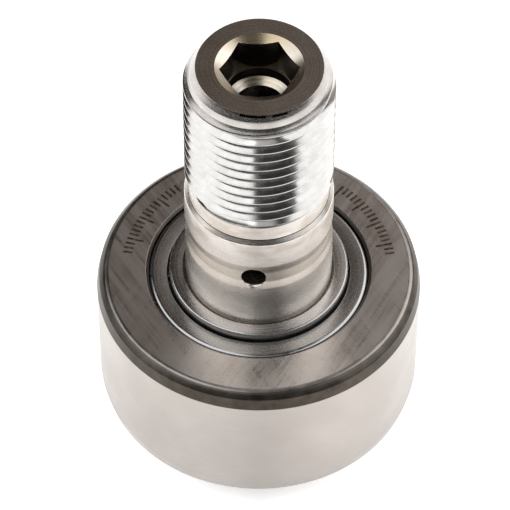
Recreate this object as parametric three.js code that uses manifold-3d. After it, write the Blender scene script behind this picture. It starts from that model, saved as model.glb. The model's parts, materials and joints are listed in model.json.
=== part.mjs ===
// Stud-type track roller (cam follower), full-complement double row.
//
// Millimetres, +Z up. The roller stands on its head: the origin is the centre of the
// head's end face and +Z runs along the stud towards its thread.
import * as THREE from 'three';
import { mergeVertices } from 'three/addons/utils/BufferGeometryUtils.js';
import Module from 'manifold-3d';

const wasm = await Module();
wasm.setup();

// ---- driving dimensions ------------------------------------------------------------

// Whole roller
const LENGTH = 58;
const RING_R = 20;
const RING_WIDTH = 20;
const RING_BOTTOM = 0.7;

// Running clearance between pieces that turn past each other or are pressed together
const FIT_GAP = 0.03;

// Bearing
const STUD_RACE_R = 9.5;
const RING_RACE_R = 13.5;
const ROLLER_COUNT = 17;
const ROLLER_R = 1.96;
const ROLLER_LENGTH = 7.2;
const ROLLER_CHAMFER = 0.25;
const ROLLER_END_GAP = 0.1;
const RIB_WIDTH = 1.4;
const RIB_BORE_R = 10.2;

// Outer ring corners: a rolled edge that ends at 45 degrees, then a slight unground taper
const FACE_EDGE_R = 18.33;
const EDGE_ROLL_R = 1.5;
const EDGE_ROLL_STEPS = 3;
const CORNER_R = 19.62;
const CORNER_DROP = 0.68;
const TAPER_DROP = 2.4;

// Seal rings: pressed sheet angle rings, one in each end of the outer ring
const SEAL_SEAT_R = 13.6;
const SEAL_SEAT_DEPTH = 1.9;
const SEAL_SEAT_CHAMFER = 0.3;
const SEAL_INNER_R = 11.25;
const SEAL_SET_BACK = 0.25;
const SEAL_SHEET = 0.55;
const SEAL_LEG = 1.55;
const SEAL_BEND_R = 0.6;
const SEAL_BEND_STEPS = 3;

// Head flange and thrust washer: the two shoulders that hold the rollers in
const FLANGE_R = 11;
const FLANGE_THICK = 2.6;
const EDGE_CHAMFER = 0.25;
const WASHER_TOP = 21.5;
const WASHER_BORE_CHAMFER = 0.38;

// Shank, its lubrication groove and the thread relief
const SHANK_R = 9;
const SHANK_END = 36.75;
const SHANK_CHAMFER = 0.55;
const GROOVE_R = 8.78;
const GROOVE_BOTTOM = 28.2;
const GROOVE_TOP = 31.9;
const GROOVE_EDGE = 0.45;
const RELIEF_R = 8.45;
const RELIEF_END = 38.9;

// Thread M18 x 1.5
const PITCH = 1.5;
const THREAD_MAJOR_R = 8.92;
const THREAD_MINOR_R = 8.08;
const THREAD_CREST = 0.19;
const THREAD_FLANK = Math.tan(Math.PI / 6);
const THREAD_ROOT_SINK = 0.15;
const THREAD_STEPS = 24;
const THREAD_START = 39.8;
const FRONT_CREST_Z = 55.81;
const END_R = 7.46;
const END_CHAMFER = 2.55;

// Sockets and lubrication channel
const HEX_ACROSS_FLATS = 8.1;
const HEX_DEPTH = 4.7;
const HEX_TURN = THREE.MathUtils.degToRad(2);
const COUNTERSINK_R = 5.22;
const COUNTERSINK_DEPTH = 0.73;
const PILOT_R = 3.95;
const PILOT_DEPTH = 6.1;
const NIPPLE_R = 3;
const NIPPLE_CONE = 0.57;
const NIPPLE_DEPTH = 12.2;
const CHANNEL_R = 2;
const CHANNEL_CONE = 0.6;
const LUBE_HOLE_R = 1.5;
const LUBE_HOLE_Z = 29.95;
const LUBE_HOLE_TURN = THREE.MathUtils.degToRad(-94);

// How far cutters reach past the faces that they cut, and the distance under which
// vertices are one
const CUTTER_REACH = 0.5;
const WELD_DISTANCE = 1e-5;

// Facets round the axis
const RING_SIDES = 64;
const STUD_SIDES = 48;
const BORE_SIDES = 24;
const ROLLER_SIDES = 12;

// ---- worked-out dimensions ---------------------------------------------------------

const RING_TOP = RING_BOTTOM + RING_WIDTH;
const MID_Z = (RING_BOTTOM + RING_TOP) / 2;
const WASHER_BOTTOM = 2 * MID_Z - FLANGE_THICK;
const ORBIT_R = (STUD_RACE_R + RING_RACE_R) / 2;
const ROLLER_UPPER_Z = MID_Z + RIB_WIDTH / 2 + ROLLER_END_GAP + ROLLER_LENGTH / 2;
const ROLLER_LOWER_Z = 2 * MID_Z - ROLLER_UPPER_Z;
const END_SLOPE = END_CHAMFER / (THREAD_MAJOR_R - END_R);

// ---- materials ---------------------------------------------------------------------

const steel = (color, roughness) =>
  new THREE.MeshStandardMaterial({ color, roughness, metalness: 1 });

const materials = {
  stud: steel(0xb9b8b4, 0.28),
  thrustWasher: steel(0x9a9a9a, 0.35),
  outerRing: steel(0xa7a5a2, 0.3),
  sealRing: steel(0x8f8f90, 0.38),
  roller: steel(0xc9cacc, 0.15),
};

// ---- geometry helpers --------------------------------------------------------------

// A solid of revolution about Z. The profile is a list of [radius, z].
function revolve(profile, sides) {
  const points = profile.map(([radius, z]) => new THREE.Vector2(radius, z));
  const geometry = new THREE.LatheGeometry(points, sides);
  geometry.rotateX(Math.PI / 2);
  return weld(geometry);
}

// Only positions, with shared vertices merged, so that the surface is closed.
function weld(geometry) {
  geometry.deleteAttribute('normal');
  geometry.deleteAttribute('uv');
  return mergeVertices(geometry, WELD_DISTANCE);
}

// A profile closed on itself.
function ringProfile(points) {
  return [...points, points[0]];
}

// The same profile seen from the other end of the outer ring, still in the same sense.
function mirrored(points) {
  return points.map(([radius, z]) => [radius, 2 * MID_Z - z]).reverse();
}

// An arc in the profile's plane, between two angles that are measured from the radius.
function arc(centreR, centreZ, radius, startAngle, endAngle, steps) {
  const points = [];
  for (let i = 0; i <= steps; i += 1) {
    const angle = startAngle + (i / steps) * (endAngle - startAngle);
    points.push([centreR + radius * Math.cos(angle), centreZ + radius * Math.sin(angle)]);
  }
  return points;
}

function toSolid(geometry) {
  const vertProperties = new Float32Array(geometry.attributes.position.array);
  const triVerts = new Uint32Array(geometry.index.array);
  return new wasm.Manifold(new wasm.Mesh({ numProp: 3, vertProperties, triVerts }));
}

function toGeometry(solid) {
  const mesh = solid.getMesh();
  const geometry = new THREE.BufferGeometry();
  geometry.setAttribute('position', new THREE.BufferAttribute(mesh.vertProperties, 3));
  geometry.setIndex(new THREE.BufferAttribute(mesh.triVerts, 1));
  return geometry;
}

// ---- stud --------------------------------------------------------------------------

// The turned blank, from the head face to the thread end, with a plain thread core.
function studBlank() {
  const shankShoulder = SHANK_END - SHANK_CHAMFER;
  return revolve([
    [0, 0],
    [FLANGE_R - EDGE_CHAMFER, 0],
    [FLANGE_R, EDGE_CHAMFER],
    [FLANGE_R, FLANGE_THICK],
    [STUD_RACE_R, FLANGE_THICK],
    [STUD_RACE_R, WASHER_BOTTOM - FIT_GAP],
    [SHANK_R, WASHER_BOTTOM - FIT_GAP],
    [SHANK_R, GROOVE_BOTTOM],
    [GROOVE_R, GROOVE_BOTTOM + GROOVE_EDGE],
    [GROOVE_R, GROOVE_TOP - GROOVE_EDGE],
    [SHANK_R, GROOVE_TOP],
    [SHANK_R, shankShoulder],
    [RELIEF_R, SHANK_END],
    [RELIEF_R, RELIEF_END],
    [THREAD_MINOR_R, RELIEF_END + (RELIEF_R - THREAD_MINOR_R)],
    [THREAD_MINOR_R, LENGTH],
    [0, LENGTH],
  ], STUD_SIDES);
}

// The helical ridge, as a four-sided section swept up the helix and capped at both ends.
function threadRidge() {
  const sinkR = THREAD_MINOR_R - THREAD_ROOT_SINK;
  const crestHalf = THREAD_CREST / 2;
  const rootHalf = crestHalf + (THREAD_MAJOR_R - sinkR) * THREAD_FLANK;
  const section = [
    [sinkR, -rootHalf],
    [THREAD_MAJOR_R, -crestHalf],
    [THREAD_MAJOR_R, crestHalf],
    [sinkR, rootHalf],
  ];
  const frontAngle = -Math.PI / 2;
  const firstStep = Math.floor(((THREAD_START - FRONT_CREST_Z) / PITCH) * THREAD_STEPS);
  const lastStep = Math.ceil(((LENGTH - FRONT_CREST_Z) / PITCH) * THREAD_STEPS);
  const positions = [];
  for (let step = firstStep; step <= lastStep; step += 1) {
    const angle = frontAngle + (step / THREAD_STEPS) * 2 * Math.PI;
    const crestZ = FRONT_CREST_Z + (step / THREAD_STEPS) * PITCH;
    for (const [radius, offset] of section) {
      positions.push(radius * Math.cos(angle), radius * Math.sin(angle), crestZ + offset);
    }
  }
  const corners = section.length;
  const rows = lastStep - firstStep;
  const indices = [];
  for (let row = 0; row < rows; row += 1) {
    for (let corner = 0; corner < corners; corner += 1) {
      const a = row * corners + corner;
      const b = row * corners + ((corner + 1) % corners);
      indices.push(a, a + corners, b, b, a + corners, b + corners);
    }
  }
  const end = rows * corners;
  indices.push(0, 1, 2, 0, 2, 3);
  indices.push(end, end + 2, end + 1, end, end + 3, end + 2);
  const geometry = new THREE.BufferGeometry();
  geometry.setAttribute('position', new THREE.Float32BufferAttribute(positions, 3));
  geometry.setIndex(indices);
  return geometry;
}

// Everything outside this is turned away: the stud's ends and the thread's end chamfer.
function threadEnvelope() {
  const wide = FLANGE_R + CUTTER_REACH;
  return revolve([
    [0, -CUTTER_REACH],
    [wide, -CUTTER_REACH],
    [wide, LENGTH - (wide - END_R) * END_SLOPE],
    [END_R, LENGTH],
    [0, LENGTH],
  ], STUD_SIDES);
}

// Both sockets' round parts and the channel between them, as one cutter.
function boreCutter() {
  const lowerHalf = [
    [0, -CUTTER_REACH],
    [COUNTERSINK_R, -CUTTER_REACH],
    [COUNTERSINK_R, 0],
    [PILOT_R, COUNTERSINK_DEPTH],
    [PILOT_R, PILOT_DEPTH],
    [NIPPLE_R, PILOT_DEPTH + NIPPLE_CONE],
    [NIPPLE_R, NIPPLE_DEPTH],
    [CHANNEL_R, NIPPLE_DEPTH + CHANNEL_CONE],
  ];
  const upperHalf = lowerHalf.map(([radius, z]) => [radius, LENGTH - z]).reverse();
  return revolve([...lowerHalf, ...upperHalf], BORE_SIDES);
}

// A six-sided prism along Z with corners towards +X and -X, turned a little.
function hexCutter(bottomZ, topZ) {
  const cornerR = HEX_ACROSS_FLATS / Math.sqrt(3);
  const outline = new THREE.Shape();
  for (let corner = 0; corner < 6; corner += 1) {
    const angle = HEX_TURN + (corner * Math.PI) / 3;
    const x = cornerR * Math.cos(angle);
    const y = cornerR * Math.sin(angle);
    if (corner === 0) {
      outline.moveTo(x, y);
    } else {
      outline.lineTo(x, y);
    }
  }
  const geometry = new THREE.ExtrudeGeometry(outline, {
    depth: topZ - bottomZ,
    bevelEnabled: false,
  });
  geometry.translate(0, 0, bottomZ);
  return weld(geometry);
}

// A round hole from the channel out through the stud's side at one height.
function radialHoleCutter(z) {
  const length = FLANGE_R;
  const geometry = new THREE.CylinderGeometry(LUBE_HOLE_R, LUBE_HOLE_R, length, BORE_SIDES);
  geometry.translate(0, length / 2, 0);
  geometry.rotateZ(LUBE_HOLE_TURN - Math.PI / 2);
  geometry.translate(0, 0, z);
  return weld(geometry);
}

function studGeometry() {
  const cutters = [
    boreCutter(),
    hexCutter(-CUTTER_REACH, HEX_DEPTH),
    hexCutter(LENGTH - HEX_DEPTH, LENGTH + CUTTER_REACH),
    radialHoleCutter(LUBE_HOLE_Z),
    radialHoleCutter(MID_Z),
  ];
  let stud = toSolid(studBlank()).add(toSolid(threadRidge()));
  stud = stud.intersect(toSolid(threadEnvelope()));
  for (const cutter of cutters) {
    stud = stud.subtract(toSolid(cutter));
  }
  return toGeometry(stud);
}

// ---- thrust washer, outer ring, seal rings, rollers --------------------------------

function thrustWasherGeometry() {
  const boreR = SHANK_R + FIT_GAP;
  return revolve(ringProfile([
    [boreR, WASHER_BOTTOM],
    [FLANGE_R - EDGE_CHAMFER, WASHER_BOTTOM],
    [FLANGE_R, WASHER_BOTTOM + EDGE_CHAMFER],
    [FLANGE_R, WASHER_TOP - EDGE_CHAMFER],
    [FLANGE_R - EDGE_CHAMFER, WASHER_TOP],
    [boreR + WASHER_BORE_CHAMFER, WASHER_TOP],
    [boreR, WASHER_TOP - WASHER_BORE_CHAMFER],
  ]), STUD_SIDES);
}

// The upper half of the section, from the middle of the running face round to the rib.
function outerRingGeometry() {
  const seatZ = RING_TOP - SEAL_SEAT_DEPTH;
  const ribTop = MID_Z + RIB_WIDTH / 2;
  const rollCentreZ = RING_TOP - EDGE_ROLL_R;
  const upperHalf = [
    [RING_R, RING_TOP - TAPER_DROP],
    [CORNER_R, RING_TOP - CORNER_DROP],
    ...arc(FACE_EDGE_R, rollCentreZ, EDGE_ROLL_R, Math.PI / 4, Math.PI / 2, EDGE_ROLL_STEPS),
    [SEAL_SEAT_R + SEAL_SEAT_CHAMFER, RING_TOP],
    [SEAL_SEAT_R, RING_TOP - SEAL_SEAT_CHAMFER],
    [SEAL_SEAT_R, seatZ],
    [RING_RACE_R, seatZ],
    [RING_RACE_R, ribTop],
    [RIB_BORE_R, ribTop],
  ];
  return revolve(ringProfile([...mirrored(upperHalf), ...upperHalf]), RING_SIDES);
}

function sealSection() {
  const outerR = SEAL_SEAT_R - FIT_GAP;
  const faceZ = RING_TOP - SEAL_SET_BACK;
  const bendR = outerR - SEAL_BEND_R;
  const bendZ = faceZ - SEAL_BEND_R;
  return [
    [SEAL_INNER_R, faceZ - SEAL_SHEET],
    [outerR - SEAL_SHEET, faceZ - SEAL_SHEET],
    [outerR - SEAL_SHEET, faceZ - SEAL_LEG],
    [outerR, faceZ - SEAL_LEG],
    ...arc(bendR, bendZ, SEAL_BEND_R, 0, Math.PI / 2, SEAL_BEND_STEPS),
    [SEAL_INNER_R, faceZ],
  ];
}

function rollerGeometry() {
  const half = ROLLER_LENGTH / 2;
  return revolve([
    [0, -half],
    [ROLLER_R - ROLLER_CHAMFER, -half],
    [ROLLER_R, ROLLER_CHAMFER - half],
    [ROLLER_R, half - ROLLER_CHAMFER],
    [ROLLER_R - ROLLER_CHAMFER, half],
    [0, half],
  ], ROLLER_SIDES);
}

// ---- scene graph -------------------------------------------------------------------

function piece(name, geometry, material) {
  const mesh = new THREE.Mesh(geometry, material);
  mesh.name = name;
  return mesh;
}

// One full-complement row of rollers, each turned to face the axis the same way.
function rollerRow(prefix, z, firstAngle) {
  const row = new THREE.Group();
  for (let i = 0; i < ROLLER_COUNT; i += 1) {
    const angle = firstAngle + (i / ROLLER_COUNT) * 2 * Math.PI;
    const number = String(i + 1).padStart(2, '0');
    const roller = piece(`${prefix}_${number}`, rollerGeometry(), materials.roller);
    roller.position.set(ORBIT_R * Math.cos(angle), ORBIT_R * Math.sin(angle), z);
    roller.rotation.z = angle;
    row.add(roller);
  }
  return row;
}

const studBody = new THREE.Group();
studBody.add(piece('stud', studGeometry(), materials.stud));
studBody.add(piece('thrust_washer', thrustWasherGeometry(), materials.thrustWasher));

const ringBody = new THREE.Group();
const shankSideSeal = revolve(ringProfile(sealSection()), RING_SIDES);
const headSideSeal = revolve(ringProfile(mirrored(sealSection())), RING_SIDES);
ringBody.add(piece('outer_ring', outerRingGeometry(), materials.outerRing));
ringBody.add(piece('seal_ring_shank_side', shankSideSeal, materials.sealRing));
ringBody.add(piece('seal_ring_head_side', headSideSeal, materials.sealRing));

const halfStep = Math.PI / ROLLER_COUNT;
const group = new THREE.Group();
group.add(studBody);
group.add(ringBody);
group.add(rollerRow('roller_upper', ROLLER_UPPER_Z, 0));
group.add(rollerRow('roller_lower', ROLLER_LOWER_Z, halfStep));

export default group;
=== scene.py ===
"""Looks of a stud-type track roller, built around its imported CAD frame.

Lengths in the profiles are millimetres, as on a drawing; every mesh is in metres.
"""
import json
import math

import bpy
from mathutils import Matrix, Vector


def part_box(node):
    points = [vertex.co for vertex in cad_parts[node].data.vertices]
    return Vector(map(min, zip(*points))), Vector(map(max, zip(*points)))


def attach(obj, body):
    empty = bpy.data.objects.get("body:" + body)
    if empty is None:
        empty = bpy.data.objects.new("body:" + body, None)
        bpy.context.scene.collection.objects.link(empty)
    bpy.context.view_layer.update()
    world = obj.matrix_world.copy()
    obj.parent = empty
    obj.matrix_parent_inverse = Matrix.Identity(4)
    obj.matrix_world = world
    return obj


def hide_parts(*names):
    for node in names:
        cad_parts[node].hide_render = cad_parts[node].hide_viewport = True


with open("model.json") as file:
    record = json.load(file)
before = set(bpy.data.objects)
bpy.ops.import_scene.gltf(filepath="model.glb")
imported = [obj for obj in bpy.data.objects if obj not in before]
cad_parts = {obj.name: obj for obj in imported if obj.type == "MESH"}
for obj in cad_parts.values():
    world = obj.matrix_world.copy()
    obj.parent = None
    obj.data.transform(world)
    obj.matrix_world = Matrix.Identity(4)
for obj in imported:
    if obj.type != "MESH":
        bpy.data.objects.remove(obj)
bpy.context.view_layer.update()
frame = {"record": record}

MM = 0.001


def span(node):
    """Outer radius, lowest and highest point of a CAD node turned about Z, in mm."""
    low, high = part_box(node)
    return high.x / MM, low.z / MM, high.z / MM


# ---- places from the frame ---------------------------------------------------------

LENGTH = span("stud")[2]
RING_R, RING_BOTTOM, RING_TOP = span("outer_ring")
FLANGE_R, WASHER_BOTTOM, WASHER_TOP = span("thrust_washer")
SEAL_R, SEAL_LEG_END, SEAL_TOP = span("seal_ring_shank_side")
MID_Z = (RING_BOTTOM + RING_TOP) / 2
FLANGE_THICK = 2 * MID_Z - WASHER_BOTTOM

# ---- sizes that the frame's boxes don't give ---------------------------------------

# Bearing; FIT_GAP is the air between two pieces that are fitted together
FIT_GAP = 0.03
WASHER_CHAMFER = 0.36
STUD_RACE_R = 9.5
RING_RACE_R = 13.5
RIB_BORE_R = 10.2
RIB_HALF = 0.7
ROLLER_R = 1.96
ROLLER_CROWN = 0.35
ROLLER_DISH_R = 0.45 * ROLLER_R
ROLLER_LAND_R = 0.6 * ROLLER_R
ROLLER_DISH = 0.06

# Outer ring corner: a rolled edge, a short chamfer, then a slight taper.
# The rolled edge is painted as one up to a tilt of ROLL_TILT.
CORNER_FACE_R = 18.95
CORNER_ROLL = 1.0
ROLL_REACH = 0.42
ROLL_TILT = math.radians(33)
CORNER_R = 19.68
CORNER_DROP = 0.8
TAPER_DROP = 2.35
SEAT_R = 13.6
SEAT_MOUTH_R = 13.92
SEAT_DEPTH = 1.9

# Seal rings
SEAL_INNER_R = 11.25
SEAL_SHEET = 0.55
SEAL_BEND = 0.6

# Stud
SHANK_R = 9.0
SHANK_END = 36.75
SHANK_CHAMFER = 0.55
GROOVE_R = 8.86
GROOVE_BOTTOM = 28.0
GROOVE_TOP = 32.1
GROOVE_EDGE = 1.2
RELIEF_R = 8.45
PITCH = 1.5
THREAD_MAJOR_R = 8.93
THREAD_MINOR_R = 8.08
THREAD_CREST_HALF = 0.07
THREAD_START = 38.9
THREAD_RUNOUT = 1.1
THREAD_LAP = 0.1
CORE_R = THREAD_MINOR_R - 0.3
CORE_END = LENGTH - 9
FRONT_CREST_Z = 55.81
THREAD_SHALLOW_END = 0.9
THREAD_SHALLOW_RUN = 3.0
END_CONE_SATIN = 2.5
SLIT_Z = 57.66
SLIT_HEIGHT = 0.26
SLIT_FLOOR_R = 7.2
SLIT_STEPS = 12
SLIT_ARCS = ((-109, -83), (-80, -64))
END_R = 7.46
END_CONE_DROP = 2.55

# Sockets and holes; the cutters stick out by OVERCUT, and a radial hole's mouth is a list of
# (added to its radius, out past the surface)
OVERCUT = 0.5
HEX_ACROSS_FLATS = 8.1
HEX_DEPTH = 4.7
HEX_TURN = math.radians(2)
COUNTERSINK_R = 5.22
PILOT_R = 3.98
PILOT_DEPTH = 6.1
PILOT_CONE = 0.58
NIPPLE_R = 3.0
NIPPLE_DEPTH = 12.2
NIPPLE_CONE = 0.6
CHANNEL_R = 2.0
BORE_ROUND = 96
LUBE_HOLE_R = 1.5
LUBE_HOLE_ROUND = 64
LUBE_HOLE_Z = 29.95
LUBE_HOLE_ANGLE = math.radians(-94)
HOLE_WALL_R = SHANK_R - 0.3
HOLE_MOUTH = ((0, -0.25), (0.12, -0.08), (0.5, 0.3))
DENT_R = 0.46
DENT_DEPTH = 0.18
DENT_ROUND = 24

# Grinding marks and tick marks on the outer ring's face
HATCH_TURNS = (math.radians(-30), math.radians(33))
HATCH_CHANGE = (-13.0, -7.0)
TICK_STEP = 2.5
TICK_BAR = (0.25, 0.66)
TICKS_TO_LONG = 5
TICK_OUTER_R = 17.0
TICK_SHORT_R = 15.8
TICK_LONGER = 0.9
TICK_GROUPS = ((8, 52), (128, 172))

# Studio, in metres: softboxes at one height, as (left, right, front, back), and a front card
SOFTBOX_HEIGHT = 0.6
SOFTBOXES = {
    "left_softbox": (-0.4, -0.08, -0.55, 0.1),
    "left_wing": (-2.2, -0.4, -0.55, 0.45),
    "right_softbox": (0.34, 2.2, -0.65, -0.02),
    "right_wing": (0.24, 2.2, -0.02, 0.8),
}
SOFTBOX_RADIANCE = 1.6
CARD_CENTRE = (0, -0.63, 0.78)
CARD_AIM = (0, 0, 0.03)
CARD_WIDTH = 0.5
CARD_HEIGHT = 0.24
CARD_RADIANCE = 0.65

# Radiance of the room round the softboxes, and where its directions change from one to the next
ROOM_FRONT = (0.035, 0.032, 0.03)
ROOM_BACK_LEFT = (0.03, 0.021, 0.014)
ROOM_BACK_RIGHT = (0.47, 0.42, 0.39)
ROOM_LEFT_TO_RIGHT = (-0.06, 0.14)
ROOM_FRONT_TO_BACK = (0.1, 0.5)

# Floor: half of its width and a hair of air under the head, then its glow, painted light that
# brightens out to GLOW_SIDE metres either side
FLOOR_HALF = 1500
FLOOR_GAP = 0.02
FLOOR_COLOR = (0.9, 0.9, 0.9)
GLOW_SIDE = 0.035
GLOW_MIDDLE = 0.5
GLOW_EDGE = 1.1

# Camera, in metres
CAMERA_LENS = 250.06
CAMERA_SENSOR = 36
CAMERA_CLIP = 0.01
CAMERA_DISTANCE = 0.434748
CAMERA_ELEVATION = math.radians(51.227)
CAMERA_TARGET = Vector((-0.000455, 0, 0.023322))
CAMERA_ROLL = math.radians(0.177)

# Painting: how near to a surface a face's centre counts as on it, and the sizes of a normal's
# z above which a face is flat, or no longer upright
NEAR = 0.01
FLAT = 0.99
UPRIGHT = 0.2

# Segments round the axis, and steps in a rounded corner
ROUND = 256
THREAD_ROUND = 180
ROLLER_ROUND = 48
CORNER_STEPS = 5
SHARP = math.radians(24)

# ---- profiles and meshes -----------------------------------------------------------


def rounded(corners, closed=False):
    """A profile of (radius, z) from corners (radius, z) or (radius, z, fillet)."""
    count = len(corners)
    points = []
    for i, corner in enumerate(corners):
        here = Vector(corner[:2])
        fillet = corner[2] if len(corner) > 2 else 0
        at_end = not closed and i in (0, count - 1)
        if fillet == 0 or at_end:
            points.append(here[:])
            continue
        back = (Vector(corners[i - 1][:2]) - here).normalized()
        ahead = (Vector(corners[(i + 1) % count][:2]) - here).normalized()
        half = back.angle(ahead) / 2
        centre = here + (back + ahead).normalized() * (fillet / math.sin(half))
        first = here + back * (fillet / math.tan(half)) - centre
        last = here + ahead * (fillet / math.tan(half)) - centre
        for step in range(CORNER_STEPS + 1):
            arm = first.slerp(last, step / CORNER_STEPS).normalized()
            points.append((centre + arm * fillet)[:])
    return points


def mirrored(profile):
    """The same outline seen from the outer ring's other end."""
    return [(p[0], 2 * MID_Z - p[1], *p[2:]) for p in reversed(profile)]


def new_object(name, vertices, faces):
    """A mesh object in metres from points in millimetres."""
    mesh = bpy.data.meshes.new(name)
    mesh.from_pydata([Vector(v) * MM for v in vertices], [], faces)
    mesh.validate()
    obj = bpy.data.objects.new(name, mesh)
    bpy.context.scene.collection.objects.link(obj)
    return obj


def turned(name, profile, segments=ROUND, closed=False):
    """Turns a profile about Z. An open profile starts and ends on the axis."""
    vertices = []
    rows = []
    for radius, z in profile:
        if radius < 1e-6:
            rows.append([len(vertices)] * segments)
            vertices.append((0, 0, z))
            continue
        rows.append([len(vertices) + i for i in range(segments)])
        for i in range(segments):
            angle = 2 * math.pi * i / segments
            vertices.append((radius * math.cos(angle), radius * math.sin(angle), z))
    pairs = list(zip(rows, rows[1:]))
    if closed:
        pairs.append((rows[-1], rows[0]))
    faces = []
    for lower, upper in pairs:
        for i in range(segments):
            j = (i + 1) % segments
            loop = [lower[i], lower[j], upper[j], upper[i]]
            faces.append(list(dict.fromkeys(loop)))
    return new_object(name, vertices, faces)


def prism(name, outline, bottom, top):
    """A straight prism along Z from a flat outline."""
    count = len(outline)
    vertices = [(x, y, z) for z in (bottom, top) for x, y in outline]
    sides = [[i, (i + 1) % count, count + (i + 1) % count, count + i] for i in range(count)]
    return new_object(name, vertices, [list(range(count))[::-1], *sides,
                                       list(range(count, 2 * count))])


def apply_modifiers(obj):
    """Bakes an object's modifiers into its mesh."""
    depsgraph = bpy.context.evaluated_depsgraph_get()
    mesh = bpy.data.meshes.new_from_object(obj.evaluated_get(depsgraph))
    obj.modifiers.clear()
    obj.data = mesh


def boolean(obj, operation, tools):
    """Joins to, cuts from or intersects obj with each tool, and removes the tools."""
    for tool in tools:
        modifier = obj.modifiers.new("boolean", "BOOLEAN")
        modifier.operation = operation
        modifier.solver = "MANIFOLD"
        modifier.object = tool
    apply_modifiers(obj)
    for tool in tools:
        bpy.data.objects.remove(tool)


def smooth(obj):
    """Smooth shading with crisp edges; flat faces stay flat beside rounded edges."""
    for polygon in obj.data.polygons:
        polygon.use_smooth = True
    obj.data.set_sharp_from_angle(angle=SHARP)
    modifier = obj.modifiers.new("weighted_normals", "WEIGHTED_NORMAL")
    modifier.weight = 100
    modifier.keep_sharp = True
    apply_modifiers(obj)


# ---- shader graphs -----------------------------------------------------------------


class Graph:
    """A material's nodes, with a short call for each kind that is used here."""

    def __init__(self, name):
        self.material = bpy.data.materials.new(name)
        self.material.use_nodes = True
        self.tree = self.material.node_tree
        self.shader = self.tree.nodes["Principled BSDF"]
        self.coords = self.node("ShaderNodeTexCoord").outputs["Object"]
        split = self.node("ShaderNodeSeparateXYZ", Vector=self.coords)
        self.x, self.y, self.z = split.outputs
        flat = self.node("ShaderNodeVectorMath", operation="MULTIPLY")
        self.tree.links.new(self.coords, flat.inputs[0])
        flat.inputs[1].default_value = (1, 1, 0)
        length = self.node("ShaderNodeVectorMath", operation="LENGTH")
        self.tree.links.new(flat.outputs[0], length.inputs[0])
        self.radius = length.outputs["Value"]
        self.angle = self.math("ARCTAN2", self.y, self.x)

    def node(self, kind, **values):
        """A node. Names of inputs set or link a socket; other names set properties."""
        made = self.tree.nodes.new(kind)
        for key, value in values.items():
            if key in made.inputs:
                self.put(made.inputs[key], value)
            else:
                setattr(made, key, value)
        return made

    def put(self, socket, value):
        if isinstance(value, bpy.types.NodeSocket):
            self.tree.links.new(value, socket)
        else:
            socket.default_value = value

    def math(self, operation, a, b=0.0, c=0.0):
        made = self.node("ShaderNodeMath", operation=operation)
        for socket, value in zip(made.inputs, (a, b, c)):
            self.put(socket, value)
        return made.outputs[0]

    def between(self, value, low, high, soft):
        """1 where value lies between low and high, with soft edges."""
        rise = self.node("ShaderNodeMapRange", Value=value, interpolation_type="SMOOTHSTEP")
        fall = self.node("ShaderNodeMapRange", Value=value, interpolation_type="SMOOTHSTEP")
        for made, start, end in ((rise, low - soft, low + soft), (fall, high + soft, high - soft)):
            made.inputs["From Min"].default_value = start
            made.inputs["From Max"].default_value = end
        return self.math("MULTIPLY", rise.outputs[0], fall.outputs[0])

    def remap(self, value, low, high, to_low, to_high):
        """A straight ramp, held at both ends."""
        made = self.node("ShaderNodeMapRange", Value=value)
        for key, number in (("From Min", low), ("From Max", high),
                            ("To Min", to_low), ("To Max", to_high)):
            made.inputs[key].default_value = number
        return made.outputs[0]

    def noise(self, scale, detail=3.0, roughness=0.5, stretch=(1, 1, 1), turn=0.0):
        """Noise with scale per millimetre, stretched along the axes and turned about Z."""
        mapping = self.node("ShaderNodeMapping", vector_type="TEXTURE")
        self.tree.links.new(self.coords, mapping.inputs["Vector"])
        mapping.inputs["Rotation"].default_value = (0, 0, turn)
        mapping.inputs["Scale"].default_value = [MM / s for s in stretch]
        made = self.node("ShaderNodeTexNoise", Scale=scale, Detail=detail, Roughness=roughness)
        self.tree.links.new(mapping.outputs[0], made.inputs["Vector"])
        return made.outputs["Fac"]

    def lines(self, along, scale, detail=2.0):
        """Noise that only changes with one value, such as the marks of a turning tool."""
        made = self.node("ShaderNodeTexNoise", noise_dimensions="1D", Scale=scale, Detail=detail)
        self.tree.links.new(self.math("MULTIPLY", along, 1 / MM), made.inputs["W"])
        return made.outputs["Fac"]

    def mix(self, factor, a, b):
        """Mixes two colours or sockets."""
        made = self.node("ShaderNodeMix", data_type="RGBA")
        self.put(made.inputs[0], factor)
        self.put(made.inputs[6], a if isinstance(a, bpy.types.NodeSocket) else (*a, 1))
        self.put(made.inputs[7], b if isinstance(b, bpy.types.NodeSocket) else (*b, 1))
        return made.outputs[2]

    def bump(self, height, depth, normal=None):
        """A bump of that depth in millimetres, on top of another bump."""
        made = self.node("ShaderNodeBump", Height=height, Distance=depth * MM, Strength=1.0)
        if normal is not None:
            self.tree.links.new(normal, made.inputs["Normal"])
        return made.outputs[0]

    def finish(self, color, roughness, normal=None, anisotropic=0.0):
        shader = self.shader
        self.put(shader.inputs["Base Color"],
                 color if isinstance(color, bpy.types.NodeSocket) else (*color, 1))
        self.put(shader.inputs["Roughness"], roughness)
        shader.inputs["Metallic"].default_value = 1.0
        if normal is not None:
            self.tree.links.new(normal, shader.inputs["Normal"])
        if anisotropic:
            shader.inputs["Anisotropic"].default_value = anisotropic
            shader.inputs["Anisotropic Rotation"].default_value = 0.25
            tangent = self.node("ShaderNodeTangent", direction_type="RADIAL", axis="Z")
            self.tree.links.new(tangent.outputs[0], shader.inputs["Tangent"])
        return self.material


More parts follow.
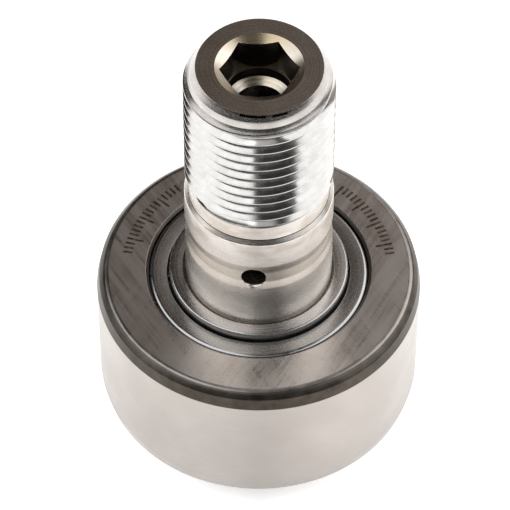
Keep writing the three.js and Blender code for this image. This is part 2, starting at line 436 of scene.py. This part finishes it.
def ground_cylinder(name, color, tint, roughness):
    """Cylindrical grinding: fine lines round the axis, faint cloudy tint."""
    g = Graph(name)
    fine = g.lines(g.z, 14, 3)
    broad = g.lines(g.z, 1.6, 2)
    cloud = g.noise(0.12, 4, 0.55)
    shade = g.mix(g.remap(cloud, 0.35, 0.7, 0, 1), color, tint)
    shade = g.mix(g.remap(fine, 0.3, 0.7, 0.12, 0), shade, (0, 0, 0))
    rough = g.remap(g.math("ADD", fine, cloud), 0.6, 1.4, roughness - 0.05, roughness + 0.06)
    normal = g.bump(fine, 0.0012, g.bump(broad, 0.002))
    return g.finish(shade, rough, normal, 0.35)


def shank(name):
    """The ground shank, with the tan unground floor of its lubrication groove, and painted shade
    that darkens it above the groove.
    """
    g = Graph(name)
    fine = g.lines(g.z, 14, 3)
    cloud = g.noise(0.3, 4, 0.55, (1, 1, 2))
    shade = g.mix(g.remap(cloud, 0.35, 0.7, 0, 1), (0.68, 0.64, 0.6), (0.62, 0.58, 0.54))
    # painted shade: above the groove the shank turns darker, with tan cloud patches
    upper = g.remap(g.z, GROOVE_TOP * MM, (GROOVE_TOP + 2.5) * MM, 0, 1)
    tan = g.mix(g.remap(cloud, 0.4, 0.6, 0, 1), (0.49, 0.44, 0.39), (0.62, 0.585, 0.55))
    shade = g.mix(upper, shade, tan)
    wavy = g.math("ADD", g.z, g.math("MULTIPLY", cloud, 0.5 * MM))
    groove = g.between(wavy, (GROOVE_BOTTOM + 0.7) * MM, (GROOVE_TOP + 0.1) * MM, 0.9 * MM)
    shade = g.mix(groove, shade, (0.62, 0.57, 0.505))
    rough = g.remap(g.math("ADD", fine, cloud), 0.6, 1.4, 0.21, 0.31)
    return g.finish(shade, rough, g.bump(fine, 0.0012, g.bump(cloud, 0.01)), 0.35)


def turned_face(name, color, tint, roughness, pitch=7.0, depth=0.0008):
    """A face turned on a lathe: rings about the axis, with a fine satin grain."""
    g = Graph(name)
    rings = g.lines(g.radius, pitch, 3)
    cloud = g.noise(0.35, 4, 0.6)
    grain = g.noise(5.0, 2, 0.6)
    shade = g.mix(g.remap(cloud, 0.35, 0.7, 0, 1), color, tint)
    shade = g.mix(g.remap(g.math("ADD", rings, grain), 0.75, 1.25, 0.22, 0), shade, (0, 0, 0))
    rough = g.remap(g.math("ADD", rings, grain), 0.7, 1.3, roughness - 0.05, roughness + 0.06)
    return g.finish(shade, rough, g.bump(rings, depth, g.bump(grain, 0.0012)))


def socket_cone_painted_light(name):
    """The socket's cones: a cream painted highlight where they face the sides, tan painted shade at
    the back.
    """
    g = Graph(name)
    rings = g.lines(g.radius, 4.0, 2)
    cloud = g.noise(0.5, 3, 0.5)
    # painted light: cream highlight towards the sides, tan painted shade towards the back
    back = g.remap(g.y, 2.5 * MM, 4.5 * MM, 0, 1)
    shade = g.mix(back, (0.68, 0.62, 0.54), (0.5, 0.41, 0.27))
    shade = g.mix(g.remap(cloud, 0.35, 0.7, 0, 0.35), shade, (0.4, 0.36, 0.31))
    rough = g.remap(rings, 0.3, 0.7, 0.24, 0.32)
    return g.finish(shade, rough, g.bump(rings, 0.0004))


def plain_steel(name, color, tint, roughness):
    """Steel edges and bores with a little variation; in the stud's bores and slits it carries
    near-black painted shade.
    """
    g = Graph(name)
    cloud = g.noise(0.6, 4, 0.6)
    shade = g.mix(g.remap(cloud, 0.35, 0.7, 0, 1), color, tint)
    rough = g.remap(cloud, 0.3, 0.7, roughness - 0.05, roughness + 0.05)
    return g.finish(shade, rough, g.bump(cloud, 0.002))


def ring_face(name):
    """Flat-ground bearing steel: crossed hatch, brown-grey clouds, annealed tick marks."""
    g = Graph(name)
    left = g.remap(g.x, HATCH_CHANGE[0] * MM, HATCH_CHANGE[1] * MM, 0.8, 0.25)
    fine = crossed(g, left, 3, (2.0, 0.1, 1))
    band = crossed(g, left, 2, (0.5, 0.06, 1))
    cloud = g.noise(0.14, 4, 0.55)
    shade = g.mix(g.remap(cloud, 0.4, 0.6, 0, 1), (0.46, 0.42, 0.395), (0.6, 0.565, 0.545))
    marks = g.math("ADD", fine, band)
    shade = g.mix(g.remap(marks, 0.8, 1.2, 0, 0.8), shade, (0.66, 0.63, 0.61))
    rough = g.remap(marks, 0.85, 1.15, 0.24, 0.33)
    normal = g.bump(fine, 0.001, g.bump(band, 0.012))
    shade = g.mix(tick_marks(g), shade, (0.1, 0.055, 0.018))
    return g.finish(shade, rough, normal)


def crossed(g, second, detail, stretch):
    """Long streaks in both grinding directions; second is the share of the second one."""
    one, other = [g.noise(1.0, detail, 0.5, stretch, turn) for turn in HATCH_TURNS]
    return g.math("MULTIPLY_ADD", g.math("SUBTRACT", other, one), second, one)


def tick_marks(g):
    """Two groups of plain radial ticks on the ring's face, annealed brown."""
    count = 360 / TICK_STEP
    turn = g.math("MULTIPLY", g.angle, count / (2 * math.pi))
    cell = g.math("FRACT", turn)
    bar = g.between(cell, *TICK_BAR, 0.06)
    every = g.math("FRACT", g.math("MULTIPLY", g.math("FLOOR", turn), 1 / TICKS_TO_LONG))
    long_one = g.math("LESS_THAN", every, 0.5 / TICKS_TO_LONG)
    inner = g.math("SUBTRACT", TICK_SHORT_R * MM, g.math("MULTIPLY", long_one, TICK_LONGER * MM))
    above = g.math("GREATER_THAN", g.radius, inner)
    below = g.math("LESS_THAN", g.radius, TICK_OUTER_R * MM)
    groups = 0.0
    for start, end in TICK_GROUPS:
        group = g.between(g.angle, math.radians(start), math.radians(end), 0.004)
        groups = g.math("MAXIMUM", groups, group)
    mark = g.math("MULTIPLY", g.math("MULTIPLY", above, below), g.math("MULTIPLY", bar, groups))
    worn = g.remap(g.noise(1.6, 3, 0.6), 0.3, 0.6, 0.5, 1.0)
    return g.math("MULTIPLY", mark, worn)


# ---- pieces ------------------------------------------------------------------------


def settle(obj, body, nodes, materials, choose=None):
    """Gives a finished mesh its materials and body, and hides the CAD nodes it stands for."""
    obj.data.materials.clear()
    for material in materials:
        obj.data.materials.append(material)
    if choose is not None:
        paint(obj, choose)
    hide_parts(*nodes)
    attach(obj, body)


def paint(obj, choose):
    """Sets each face's material from its centre (radius, z) in mm and its normal."""
    for polygon in obj.data.polygons:
        centre = polygon.center / MM
        radius = math.hypot(centre.x, centre.y)
        polygon.material_index = choose(radius, centre.z, polygon.normal)


def flat_edge_or_side(radius, z, normal):
    """0 on flat ends, 1 on rolled edges, 2 on upright walls."""
    if abs(normal.z) > FLAT:
        return 0
    return 1 if abs(normal.z) > UPRIGHT else 2


def outer_ring():
    seat_z = RING_TOP - SEAT_DEPTH
    rib_top = MID_Z + RIB_HALF
    half = [
        (RING_R, RING_TOP - TAPER_DROP, 0.4),
        (CORNER_R, RING_TOP - CORNER_DROP, 0.3),
        (CORNER_FACE_R, RING_TOP, CORNER_ROLL),
        (SEAT_MOUTH_R, RING_TOP, 0.06),
        (SEAT_R, RING_TOP - (SEAT_MOUTH_R - SEAT_R), 0.05),
        (SEAT_R, seat_z),
        (RING_RACE_R, seat_z),
        (RING_RACE_R, rib_top),
        (RIB_BORE_R, rib_top, 0.15),
    ]
    obj = turned("outer_ring_body", rounded(mirrored(half) + half, closed=True), closed=True)
    smooth(obj)

    running, face, rolled, bore, taper, chamfer = range(6)

    def choose(radius, z, normal):
        corner = z > RING_TOP - TAPER_DROP or z < RING_BOTTOM + CORNER_DROP
        if radius > CORNER_R - 10 * NEAR and not corner:
            return running
        if radius > CORNER_R - 5 * NEAR:
            return taper
        if radius > CORNER_FACE_R - ROLL_REACH and corner:
            return rolled if abs(normal.z) > math.cos(ROLL_TILT) else chamfer
        return face if radius > SEAT_MOUTH_R and corner else bore

    settle(obj, "outer_ring_body", ["outer_ring"], [
        ground_cylinder("ring_running_face", (0.5, 0.46, 0.43), (0.45, 0.41, 0.38), 0.3),
        ring_face("ring_end_face"),
        plain_steel("ring_rolled_edge", (0.28, 0.255, 0.24), (0.38, 0.36, 0.345), 0.32),
        plain_steel("ring_bore", (0.16, 0.15, 0.14), (0.2, 0.19, 0.18), 0.3),
        # the taper and the chamfer are near-black: partly the dark oxide of unground steel, partly
        # painted shade
        plain_steel("ring_taper_oxide_and_shade", (0.05, 0.042, 0.034), (0.085, 0.072, 0.06), 0.36),
        plain_steel("ring_chamfer_oxide_and_shade", (0.085, 0.074, 0.064), (0.13, 0.115, 0.1), 0.33),
    ], choose)


def thrust_washer():
    bore = SHANK_R + FIT_GAP
    profile = rounded([
        (bore, WASHER_BOTTOM),
        (FLANGE_R, WASHER_BOTTOM, 0.25),
        (FLANGE_R, WASHER_TOP, 0.28),
        (bore + WASHER_CHAMFER, WASHER_TOP, 0.08),
        (bore, WASHER_TOP - WASHER_CHAMFER),
    ], closed=True)
    obj = turned("thrust_washer_body", profile, closed=True)
    smooth(obj)
    settle(obj, "stud_body", ["thrust_washer"], [
        turned_face("washer_face", (0.58, 0.565, 0.55), (0.64, 0.625, 0.61), 0.26),
        plain_steel("washer_edge", (0.42, 0.42, 0.41), (0.48, 0.48, 0.47), 0.22),
        plain_steel("washer_side", (0.3, 0.29, 0.28), (0.36, 0.35, 0.34), 0.35),
    ], flat_edge_or_side)


def seal_ring(side, flip):
    profile = [
        (SEAL_INNER_R, SEAL_TOP - SEAL_SHEET, 0.1),
        (SEAL_R - SEAL_SHEET, SEAL_TOP - SEAL_SHEET),
        (SEAL_R - SEAL_SHEET, SEAL_LEG_END, 0.1),
        (SEAL_R, SEAL_LEG_END, 0.1),
        (SEAL_R, SEAL_TOP, SEAL_BEND),
        (SEAL_INNER_R, SEAL_TOP, 0.12),
    ]
    profile = mirrored(profile) if flip else profile
    obj = turned(f"seal_ring_{side}_body", rounded(profile, closed=True), closed=True)
    smooth(obj)
    settle(obj, "outer_ring_body", [f"seal_ring_{side}"], [
        turned_face(f"seal_{side}_face", (0.46, 0.45, 0.44), (0.52, 0.51, 0.5), 0.27, 5.0),
        plain_steel(f"seal_{side}_edge", (0.4, 0.4, 0.4), (0.45, 0.45, 0.45), 0.22),
        plain_steel(f"seal_{side}_side", (0.3, 0.295, 0.285), (0.36, 0.355, 0.345), 0.3),
    ], flat_edge_or_side)


def rollers():
    material = ground_cylinder("roller_finish", (0.34, 0.33, 0.31), (0.26, 0.25, 0.23), 0.3)
    for body in ("roller_row_upper", "roller_row_lower"):
        for node in frame["record"]["behaviour"]["bodies"][body]:
            low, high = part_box(node)
            bottom, top = low.z / MM, high.z / MM
            profile = rounded([
                (0, bottom + ROLLER_DISH),
                (ROLLER_DISH_R, bottom + ROLLER_DISH, 0.2),
                (ROLLER_LAND_R, bottom, 0.2),
                (ROLLER_R, bottom, ROLLER_CROWN),
                (ROLLER_R, top, ROLLER_CROWN),
                (ROLLER_LAND_R, top, 0.2),
                (ROLLER_DISH_R, top - ROLLER_DISH, 0.2),
                (0, top - ROLLER_DISH),
            ])
            obj = turned(f"bearing_{node}", profile, ROLLER_ROUND)
            centre = (low + high) / 2
            for vertex in obj.data.vertices:
                vertex.co.x += centre.x
                vertex.co.y += centre.y
            smooth(obj)
            settle(obj, body, [node], [material])


# ---- stud --------------------------------------------------------------------------


def thread_section():
    """One pitch of the thread, from root to root, as (height from the crest, radius)."""
    flank = (THREAD_MAJOR_R - THREAD_MINOR_R) * math.tan(math.pi / 6)
    root = THREAD_CREST_HALF + flank
    corners = [
        (-PITCH / 2, THREAD_MINOR_R),
        (-root, THREAD_MINOR_R, 0.1),
        (-THREAD_CREST_HALF, THREAD_MAJOR_R, 0.06),
        (THREAD_CREST_HALF, THREAD_MAJOR_R, 0.06),
        (root, THREAD_MINOR_R, 0.1),
        (PITCH / 2, THREAD_MINOR_R),
    ]
    return rounded(corners)[:-1]


def thread_rod():
    """The helical surface as one closed rod, longer than the thread at both ends."""
    section = thread_section()
    size = len(section)
    slope = (THREAD_MAJOR_R - END_R) / END_CONE_DROP
    first = math.floor((THREAD_START - PITCH - FRONT_CREST_Z) / PITCH) * THREAD_ROUND
    last = math.ceil((LENGTH + PITCH - FRONT_CREST_Z) / PITCH) * THREAD_ROUND
    vertices = []
    for step in range(first, last + 1):
        turn = step / THREAD_ROUND
        angle = 2 * math.pi * turn - math.pi / 2
        for height, radius in section:
            z = FRONT_CREST_Z + PITCH * turn + height
            fade = min(max((z - THREAD_START) / THREAD_RUNOUT, 0), 1)
            fade = fade * fade * (3 - 2 * fade)
            outside = min(THREAD_MAJOR_R, END_R + (LENGTH - z) * slope)
            shallow = min(max((LENGTH - THREAD_SHALLOW_END - z) / THREAD_SHALLOW_RUN, 0), 1)
            cut = outside - (THREAD_MAJOR_R - radius) * shallow
            grown = RELIEF_R + (cut - RELIEF_R) * fade
            vertices.append((grown * math.cos(angle), grown * math.sin(angle), z))
    steps = last - first
    faces = []
    for i in range(steps):
        for j in range(size):
            a = i * size + j
            if j + 1 < size:
                faces.append([a, a + size, a + size + 1, a + 1])
            elif i + 1 + THREAD_ROUND <= steps:
                above = (i + THREAD_ROUND) * size
                faces.append([a, a + size, above + size, above])
    bottom_rim = [i * size for i in range(THREAD_ROUND + 1)]
    bottom_rim += [j for j in range(size - 1, 0, -1)]
    top = steps - THREAD_ROUND
    top_rim = [(top + i) * size + size - 1 for i in range(THREAD_ROUND + 1)]
    top_rim += [steps * size + j for j in range(size - 2, -1, -1)]
    for rim, sign in ((bottom_rim, -1), (top_rim, 1)):
        centre = len(vertices)
        z = sum(vertices[i][2] for i in rim) / len(rim)
        vertices.append((0, 0, z))
        for a, b in zip(rim, rim[1:] + rim[:1]):
            faces.append([centre, a, b] if sign > 0 else [centre, b, a])
    return new_object("thread_rod", vertices, faces)


def stud_blank():
    """Head, raceway, shank and relief, with a plain core that ends inside the thread."""
    shoulder = SHANK_END - SHANK_CHAMFER
    return turned("stud_body_metal", rounded([
        (0, 0),
        (FLANGE_R, 0, 0.28),
        (FLANGE_R, FLANGE_THICK, 0.12),
        (STUD_RACE_R, FLANGE_THICK),
        (STUD_RACE_R, WASHER_BOTTOM - FIT_GAP),
        (SHANK_R, WASHER_BOTTOM - FIT_GAP),
        (SHANK_R, GROOVE_BOTTOM, 3),
        (GROOVE_R, GROOVE_BOTTOM + GROOVE_EDGE, 3),
        (GROOVE_R, GROOVE_TOP - GROOVE_EDGE, 3),
        (SHANK_R, GROOVE_TOP, 3),
        (SHANK_R, shoulder, 0.3),
        (RELIEF_R, SHANK_END, 0.3),
        (RELIEF_R, THREAD_START - THREAD_LAP),
        (CORE_R, THREAD_START + THREAD_LAP),
        (CORE_R, CORE_END),
        (0, CORE_END),
    ]), THREAD_ROUND)


def thread_envelope():
    """What is kept of the rod: from inside the relief to the end face, within the end cone."""
    wide = THREAD_MAJOR_R + OVERCUT
    slope = (THREAD_MAJOR_R - END_R) / END_CONE_DROP
    return turned("thread_envelope", [
        (0, THREAD_START - THREAD_LAP),
        (wide, THREAD_START - THREAD_LAP),
        (wide, LENGTH - (wide - END_R) / slope),
        (END_R, LENGTH),
        (0, LENGTH),
    ], THREAD_ROUND)


def socket_cutters():
    """Stepped bore with both countersinks, two hexagons, and two radial holes."""
    slope = math.tan(math.radians(30))
    lower = [
        (0, -OVERCUT),
        (COUNTERSINK_R + OVERCUT / slope, -OVERCUT),
        (PILOT_R, (COUNTERSINK_R - PILOT_R) * slope),
        (PILOT_R, PILOT_DEPTH),
        (NIPPLE_R, PILOT_DEPTH + PILOT_CONE),
        (NIPPLE_R, NIPPLE_DEPTH),
        (CHANNEL_R, NIPPLE_DEPTH + NIPPLE_CONE),
    ]
    upper = [(radius, LENGTH - z) for radius, z in reversed(lower)]
    bore = turned("bore_cutter", lower + upper, BORE_ROUND)
    corner_r = HEX_ACROSS_FLATS / math.sqrt(3)
    turns = [HEX_TURN + math.pi / 3 * i for i in range(6)]
    outline = [(corner_r * math.cos(t), corner_r * math.sin(t)) for t in turns]
    head_hex = prism("head_hex", outline, -OVERCUT, HEX_DEPTH)
    end_hex = prism("end_hex", outline, LENGTH - HEX_DEPTH, LENGTH + OVERCUT)
    holes = [radial_cutter(LUBE_HOLE_Z, SHANK_R), radial_cutter(MID_Z, STUD_RACE_R)]
    return [bore, head_hex, end_hex, *holes, dent_cutter(), *slit_cutters()]


def slit_cutters():
    """The last of the thread's root, two short slits under the end face's front edge."""
    cutters = []
    for start, end in SLIT_ARCS:
        step = (end - start) / SLIT_STEPS
        turns = [math.radians(start + step * i) for i in range(SLIT_STEPS + 1)]
        inner = [(SLIT_FLOOR_R * math.cos(t), SLIT_FLOOR_R * math.sin(t)) for t in turns[1:-1]]
        outer = [(THREAD_MAJOR_R * math.cos(t), THREAD_MAJOR_R * math.sin(t)) for t in turns]
        cutters.append(prism("slit", outer + inner[::-1], SLIT_Z, SLIT_Z + SLIT_HEIGHT))
    return cutters


def dent_cutter():
    """The drill's pressed-in edge, a small dent just under the lubrication hole."""
    tip = SHANK_R - DENT_DEPTH
    rim = SHANK_R + DENT_DEPTH
    obj = turned("dent_cutter", [(0, tip), (2 * DENT_R, rim), (0, rim)], DENT_ROUND)
    return point_out(obj, LUBE_HOLE_Z - LUBE_HOLE_R - DENT_R)


def radial_cutter(z, surface_r):
    """A radial drill with a small rounded mouth."""
    mouth = [(LUBE_HOLE_R + wider, surface_r + out) for wider, out in HOLE_MOUTH]
    profile = [(0, 0), (LUBE_HOLE_R, 0), *mouth, (0, mouth[-1][1])]
    return point_out(turned("radial_cutter", profile, LUBE_HOLE_ROUND), z)


def point_out(obj, z):
    """Lays a piece that was turned about Z along the lubrication hole's direction."""
    cos, sin = math.cos(LUBE_HOLE_ANGLE), math.sin(LUBE_HOLE_ANGLE)
    for vertex in obj.data.vertices:
        across, up, out = vertex.co
        vertex.co = Vector((out * cos - across * sin, out * sin + across * cos, up + z * MM))
    return obj


def stud():
    obj = stud_blank()
    rod = thread_rod()
    boolean(rod, "INTERSECT", [thread_envelope()])
    boolean(obj, "UNION", [rod])
    boolean(obj, "DIFFERENCE", socket_cutters())
    smooth(obj)

    ground, thread, end_face, cone, socket, end_cone, painted_shade_black = range(7)

    def choose(radius, z, normal):
        tilt = abs(normal.z)
        if z > LENGTH - 2 * NEAR or z < 2 * NEAR:
            return end_face
        if radius < HEX_ACROSS_FLATS / math.sqrt(3) + NEAR:
            # inside the hexagon all but the walls take the cream cone colour; on the flat ledges at
            # its corners that is a painted glint
            return socket if tilt < 0.1 else cone
        if radius < COUNTERSINK_R + NEAR:
            return cone
        # painted shade: the slits' faces are near-black
        if z > SLIT_Z - NEAR and not 0.05 < tilt < 0.95:
            return painted_shade_black
        if z > LENGTH - END_CONE_SATIN:
            return end_cone
        if z > THREAD_START:
            return thread
        # painted shade: the radial holes' walls are near-black
        if radius < HOLE_WALL_R and z < SHANK_END:
            return painted_shade_black
        return ground

    settle(obj, "stud_body", ["stud"], [
        shank("shank_ground"),
        plain_steel("thread_rolled", (0.6, 0.59, 0.58), (0.52, 0.51, 0.495), 0.15),
        turned_face("stud_end_face", (0.4, 0.355, 0.31), (0.48, 0.43, 0.385), 0.27),
        socket_cone_painted_light("socket_cone_painted_light"),
        # near-black painted shade on the upright walls inside the hexagon and its bores
        plain_steel("socket_wall_painted_shade", (0.06, 0.052, 0.045), (0.09, 0.08, 0.07), 0.3),
        turned_face("thread_end_cone", (0.42, 0.395, 0.375), (0.54, 0.515, 0.49), 0.24, 3.0, 0.01),
        # near-black painted shade in the radial holes and the slits
        plain_steel("hole_wall_painted_shade", (0.014, 0.012, 0.011), (0.02, 0.018, 0.016), 0.5),
    ], choose)


# ---- studio ------------------------------------------------------------------------


def panel(name, centre, aim, size_x, size_y, radiance):
    """A large soft light that faces the point aim."""
    data = bpy.data.lights.new(name, "AREA")
    data.shape = "RECTANGLE"
    data.size = size_x
    data.size_y = size_y
    data.energy = radiance * math.pi * size_x * size_y
    obj = bpy.data.objects.new(name, data)
    obj.location = centre
    obj.rotation_euler = (Vector(aim) - Vector(centre)).to_track_quat("-Z", "Y").to_euler()
    bpy.context.scene.collection.objects.link(obj)


def room():
    """The dark studio round the lights: dim in front and overhead, paler behind on the right."""
    world = bpy.data.worlds.new("studio")
    world.use_nodes = True
    tree = world.node_tree
    direction = tree.nodes.new("ShaderNodeTexCoord").outputs["Generated"]
    split = tree.nodes.new("ShaderNodeSeparateXYZ")
    tree.links.new(direction, split.inputs[0])

    def put(socket, value):
        if isinstance(value, bpy.types.NodeSocket):
            tree.links.new(value, socket)
        else:
            socket.default_value = (*value, 1)

    def mix(factor, a, b):
        made = tree.nodes.new("ShaderNodeMix")
        made.data_type = "RGBA"
        tree.links.new(factor, made.inputs[0])
        put(made.inputs[6], a)
        put(made.inputs[7], b)
        return made.outputs[2]

    def ramp(axis, limits):
        made = tree.nodes.new("ShaderNodeMapRange")
        made.inputs["From Min"].default_value = limits[0]
        made.inputs["From Max"].default_value = limits[1]
        tree.links.new(split.outputs[axis], made.inputs["Value"])
        return made.outputs[0]

    back = mix(ramp("X", ROOM_LEFT_TO_RIGHT), ROOM_BACK_LEFT, ROOM_BACK_RIGHT)
    shade = mix(ramp("Y", ROOM_FRONT_TO_BACK), ROOM_FRONT, back)
    to_camera = tree.nodes.new("ShaderNodeLightPath").outputs["Is Camera Ray"]
    backdrop = mix(to_camera, shade, (1, 1, 1))
    tree.links.new(backdrop, tree.nodes["Background"].inputs["Color"])
    bpy.context.scene.world = world


def floor_material():
    """A white table that glows with painted light, dim along the middle and brightest left and
    right.
    """
    material = bpy.data.materials.new("floor_white")
    material.use_nodes = True
    tree = material.node_tree
    shader = tree.nodes["Principled BSDF"]
    shader.inputs["Base Color"].default_value = (*FLOOR_COLOR, 1)
    shader.inputs["Roughness"].default_value = 0.6
    shader.inputs["Emission Color"].default_value = (1, 1, 1, 1)
    split = tree.nodes.new("ShaderNodeSeparateXYZ")
    tree.links.new(tree.nodes.new("ShaderNodeTexCoord").outputs["Object"], split.inputs[0])
    side = tree.nodes.new("ShaderNodeMath")
    side.operation = "ABSOLUTE"
    tree.links.new(split.outputs["X"], side.inputs[0])
    # painted light: the floor glows, dim along the middle and brightest to the left and right of
    # the piece
    painted_glow = tree.nodes.new("ShaderNodeMapRange")
    tree.links.new(side.outputs[0], painted_glow.inputs["Value"])
    for key, value in (("From Min", 0.0), ("From Max", GLOW_SIDE),
                       ("To Min", GLOW_MIDDLE), ("To Max", GLOW_EDGE)):
        painted_glow.inputs[key].default_value = value
    tree.links.new(painted_glow.outputs[0], shader.inputs["Emission Strength"])
    return material


def studio():
    for name, (left, right, front, back) in SOFTBOXES.items():
        x, y = (left + right) / 2, (front + back) / 2
        panel(name, (x, y, SOFTBOX_HEIGHT), (x, y, 0), right - left, back - front, SOFTBOX_RADIANCE)
    panel("front_card", CARD_CENTRE, CARD_AIM, CARD_WIDTH, CARD_HEIGHT, CARD_RADIANCE)
    room()
    far = FLOOR_HALF
    corners = [(x, y, -FLOOR_GAP) for x, y in ((-far, -far), (far, -far), (far, far), (-far, far))]
    floor = new_object("floor", corners, [[0, 1, 2, 3]])
    floor.data.materials.append(floor_material())
    bpy.context.scene.view_settings.view_transform = "Standard"


def camera():
    """A long lens, a little above the front, aimed at the stud's axis."""
    data = bpy.data.cameras.new("camera")
    data.lens = CAMERA_LENS
    data.sensor_width = CAMERA_SENSOR
    data.clip_start = CAMERA_CLIP
    back = Vector((0, -math.cos(CAMERA_ELEVATION), math.sin(CAMERA_ELEVATION)))
    obj = bpy.data.objects.new("camera", data)
    obj.location = CAMERA_TARGET + back * CAMERA_DISTANCE
    obj.rotation_euler = (-back).to_track_quat("-Z", "Y").to_euler()
    obj.rotation_euler.rotate_axis("Z", CAMERA_ROLL)
    bpy.context.scene.collection.objects.link(obj)
    bpy.context.scene.camera = obj


camera()
studio()
stud()
thrust_washer()
outer_ring()
seal_ring("shank_side", False)
seal_ring("head_side", True)
rollers()
